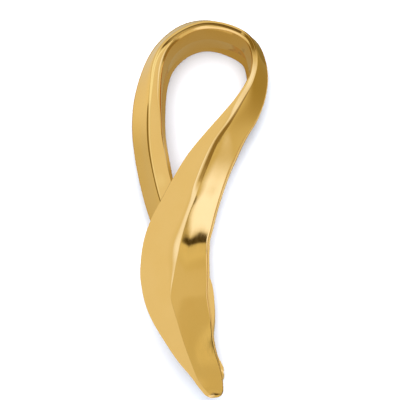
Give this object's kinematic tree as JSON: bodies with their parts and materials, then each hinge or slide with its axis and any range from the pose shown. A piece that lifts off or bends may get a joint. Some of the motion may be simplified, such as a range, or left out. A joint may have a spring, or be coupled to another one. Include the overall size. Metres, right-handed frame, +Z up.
{
  "type": "slide pendant",
  "caption": "Polished gold slide pendant: a ribbon folded into a tall leaning loop for a chain, crossing itself and tapering into a ridged body, with its tail soldered behind.",
  "frame": {"origin": "centre of the bounding box's base, where the slide lies on its side", "axes": "+Y from the tip towards the top of the loop, +X across the slide towards its front ridge, +Z up from the side it lies on"},
  "size_m": [0.01, 0.028, 0.0052],
  "materials": {
    "gold": "polished 14 karat yellow gold"
  },
  "bodies": {
    "root": {"ribbon_slide": "gold"}
  },
  "joints": []
}
